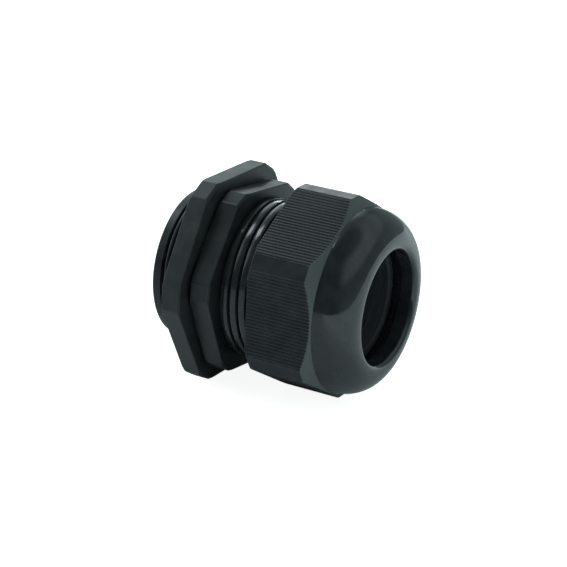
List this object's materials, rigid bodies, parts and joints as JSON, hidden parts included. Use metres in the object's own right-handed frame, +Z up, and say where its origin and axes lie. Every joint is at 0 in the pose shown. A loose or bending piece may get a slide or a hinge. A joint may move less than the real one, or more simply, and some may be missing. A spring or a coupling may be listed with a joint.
{
  "type": "cable gland",
  "caption": "Threaded cable gland: hexagonal body with entry stub and locknut, ribbed dome nut that closes claws and a rubber seal on a cable.",
  "frame": {"origin": "on the gland's axis, in the plane of the hexagon's back face, where the gland seats on a panel", "axes": "+X along the axis towards the domed nut, where the cable leaves; -X towards the threaded entry stub; +Z up, with the gland lying on its side"},
  "size_m": [0.0619, 0.062, 0.0576],
  "materials": {
    "body_nylon": "satin black moulded nylon with slightly glossier thread crests",
    "nut_nylon": "black moulded nylon, fine ribbed satin flats and a glossy dome",
    "locknut_nylon": "satin black moulded nylon",
    "claw_nylon": "satin black moulded nylon",
    "seal_rubber": "matt black moulded rubber",
    "washer_rubber": "matt black rubber sheet"
  },
  "bodies": {
    "gland_body": {"gland_body": "body_nylon"},
    "seal": {"seal": "seal_rubber"},
    "dome_nut": {"dome_nut": "nut_nylon"},
    "sealing_washer": {"sealing_washer": "washer_rubber"},
    "locknut": {"locknut": "locknut_nylon"},
    "claw_01": {"claw_01": "claw_nylon"},
    "claw_02": {"claw_02": "claw_nylon"},
    "claw_03": {"claw_03": "claw_nylon"},
    "claw_04": {"claw_04": "claw_nylon"},
    "claw_05": {"claw_05": "claw_nylon"},
    "claw_06": {"claw_06": "claw_nylon"},
    "claw_07": {"claw_07": "claw_nylon"},
    "claw_08": {"claw_08": "claw_nylon"},
    "claw_09": {"claw_09": "claw_nylon"},
    "claw_10": {"claw_10": "claw_nylon"},
    "claw_11": {"claw_11": "claw_nylon"},
    "claw_12": {"claw_12": "claw_nylon"},
    "claw_13": {"claw_13": "claw_nylon"},
    "claw_14": {"claw_14": "claw_nylon"},
    "claw_15": {"claw_15": "claw_nylon"},
    "claw_16": {"claw_16": "claw_nylon"}
  },
  "joints": [
    {"name": "seal_slide", "type": "slide", "parent": "gland_body", "child": "seal", "axis": [-1, 0, 0], "range_m": [0, 0.00675], "deforming": ["seal"]},
    {"name": "dome_nut_turn", "type": "hinge", "parent": "seal", "child": "dome_nut", "pos_m": [0.03, 0, 0], "axis": [-1, 0, 0], "range_deg": [0, 900]},
    {"name": "washer_slide", "type": "slide", "parent": "gland_body", "child": "sealing_washer", "axis": [-1, 0, 0], "range_m": [0, 0.00773]},
    {"name": "locknut_turn", "type": "hinge", "parent": "sealing_washer", "child": "locknut", "pos_m": [-0.004, 0, 0], "axis": [-1, 0, 0], "range_deg": [0, 1260]},
    {"name": "claw_01_bend", "type": "hinge", "parent": "gland_body", "child": "claw_01", "pos_m": [0.0247, 0, 0.0182], "axis": [0, 1, 0], "range_deg": [0, 13.5]},
    {"name": "claw_02_bend", "type": "hinge", "parent": "gland_body", "child": "claw_02", "pos_m": [0.0247, -0.00696, 0.01681], "axis": [0, 0.9239, 0.3827], "range_deg": [0, 13.5]},
    {"name": "claw_03_bend", "type": "hinge", "parent": "gland_body", "child": "claw_03", "pos_m": [0.0247, -0.01287, 0.01287], "axis": [0, 0.7071, 0.7071], "range_deg": [0, 13.5]},
    {"name": "claw_04_bend", "type": "hinge", "parent": "gland_body", "child": "claw_04", "pos_m": [0.0247, -0.01681, 0.00696], "axis": [0, 0.3827, 0.9239], "range_deg": [0, 13.5]},
    {"name": "claw_05_bend", "type": "hinge", "parent": "gland_body", "child": "claw_05", "pos_m": [0.0247, -0.0182, 0], "axis": [0, 0, 1], "range_deg": [0, 13.5]},
    {"name": "claw_06_bend", "type": "hinge", "parent": "gland_body", "child": "claw_06", "pos_m": [0.0247, -0.01681, -0.00696], "axis": [0, -0.3827, 0.9239], "range_deg": [0, 13.5]},
    {"name": "claw_07_bend", "type": "hinge", "parent": "gland_body", "child": "claw_07", "pos_m": [0.0247, -0.01287, -0.01287], "axis": [0, -0.7071, 0.7071], "range_deg": [0, 13.5]},
    {"name": "claw_08_bend", "type": "hinge", "parent": "gland_body", "child": "claw_08", "pos_m": [0.0247, -0.00696, -0.01681], "axis": [0, -0.9239, 0.3827], "range_deg": [0, 13.5]},
    {"name": "claw_09_bend", "type": "hinge", "parent": "gland_body", "child": "claw_09", "pos_m": [0.0247, 0, -0.0182], "axis": [0, -1, 0], "range_deg": [0, 13.5]},
    {"name": "claw_10_bend", "type": "hinge", "parent": "gland_body", "child": "claw_10", "pos_m": [0.0247, 0.00696, -0.01681], "axis": [0, -0.9239, -0.3827], "range_deg": [0, 13.5]},
    {"name": "claw_11_bend", "type": "hinge", "parent": "gland_body", "child": "claw_11", "pos_m": [0.0247, 0.01287, -0.01287], "axis": [0, -0.7071, -0.7071], "range_deg": [0, 13.5]},
    {"name": "claw_12_bend", "type": "hinge", "parent": "gland_body", "child": "claw_12", "pos_m": [0.0247, 0.01681, -0.00696], "axis": [0, -0.3827, -0.9239], "range_deg": [0, 13.5]},
    {"name": "claw_13_bend", "type": "hinge", "parent": "gland_body", "child": "claw_13", "pos_m": [0.0247, 0.0182, 0], "axis": [0, 0, -1], "range_deg": [0, 13.5]},
    {"name": "claw_14_bend", "type": "hinge", "parent": "gland_body", "child": "claw_14", "pos_m": [0.0247, 0.01681, 0.00696], "axis": [0, 0.3827, -0.9239], "range_deg": [0, 13.5]},
    {"name": "claw_15_bend", "type": "hinge", "parent": "gland_body", "child": "claw_15", "pos_m": [0.0247, 0.01287, 0.01287], "axis": [0, 0.7071, -0.7071], "range_deg": [0, 13.5]},
    {"name": "claw_16_bend", "type": "hinge", "parent": "gland_body", "child": "claw_16", "pos_m": [0.0247, 0.00696, 0.01681], "axis": [0, 0.9239, -0.3827], "range_deg": [0, 13.5]}
  ],
  "couplings": [
    {"joint": "seal_slide", "follows": "dome_nut_turn", "m_per_rad": 0.00042972},
    {"joint": "washer_slide", "follows": "locknut_turn", "m_per_rad": 0.00035157},
    {"joint": "claw_01_bend", "follows": "dome_nut_turn", "ratio": 0.015},
    {"joint": "claw_02_bend", "follows": "dome_nut_turn", "ratio": 0.015},
    {"joint": "claw_03_bend", "follows": "dome_nut_turn", "ratio": 0.015},
    {"joint": "claw_04_bend", "follows": "dome_nut_turn", "ratio": 0.015},
    {"joint": "claw_05_bend", "follows": "dome_nut_turn", "ratio": 0.015},
    {"joint": "claw_06_bend", "follows": "dome_nut_turn", "ratio": 0.015},
    {"joint": "claw_07_bend", "follows": "dome_nut_turn", "ratio": 0.015},
    {"joint": "claw_08_bend", "follows": "dome_nut_turn", "ratio": 0.015},
    {"joint": "claw_09_bend", "follows": "dome_nut_turn", "ratio": 0.015},
    {"joint": "claw_10_bend", "follows": "dome_nut_turn", "ratio": 0.015},
    {"joint": "claw_11_bend", "follows": "dome_nut_turn", "ratio": 0.015},
    {"joint": "claw_12_bend", "follows": "dome_nut_turn", "ratio": 0.015},
    {"joint": "claw_13_bend", "follows": "dome_nut_turn", "ratio": 0.015},
    {"joint": "claw_14_bend", "follows": "dome_nut_turn", "ratio": 0.015},
    {"joint": "claw_15_bend", "follows": "dome_nut_turn", "ratio": 0.015},
    {"joint": "claw_16_bend", "follows": "dome_nut_turn", "ratio": 0.015}
  ]
}
